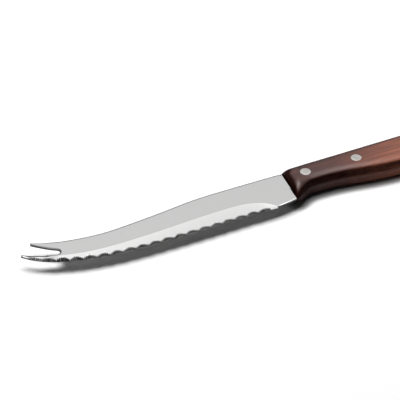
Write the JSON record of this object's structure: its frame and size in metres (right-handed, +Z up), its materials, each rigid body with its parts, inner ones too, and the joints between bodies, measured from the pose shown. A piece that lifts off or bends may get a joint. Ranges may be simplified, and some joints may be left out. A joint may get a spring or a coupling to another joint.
{
  "type": "cheese knife",
  "caption": "Cheese knife with a forked, upswept tip, a scalloped and finely toothed edge, and a waisted wooden handle held by flush rivets.",
  "frame": {"origin": "on the handle's resting face, midway between the two rivets, with the knife lying on its side", "axes": "+X along the knife towards the butt, +Y towards the spine, +Z up through the thickness, so the serrated edge faces -Y"},
  "size_m": [0.2162, 0.0206, 0.0095],
  "materials": {
    "blade_steel": "fine satin faces, brighter ground bevel",
    "handle_wood": "dark red-brown compressed wood, smooth lacquer",
    "rivet_metal": "ground flush, slightly mottled"
  },
  "bodies": {
    "root": {"blade": "blade_steel", "handle": "handle_wood", "front_rivet": "rivet_metal", "rear_rivet": "rivet_metal"}
  },
  "joints": []
}
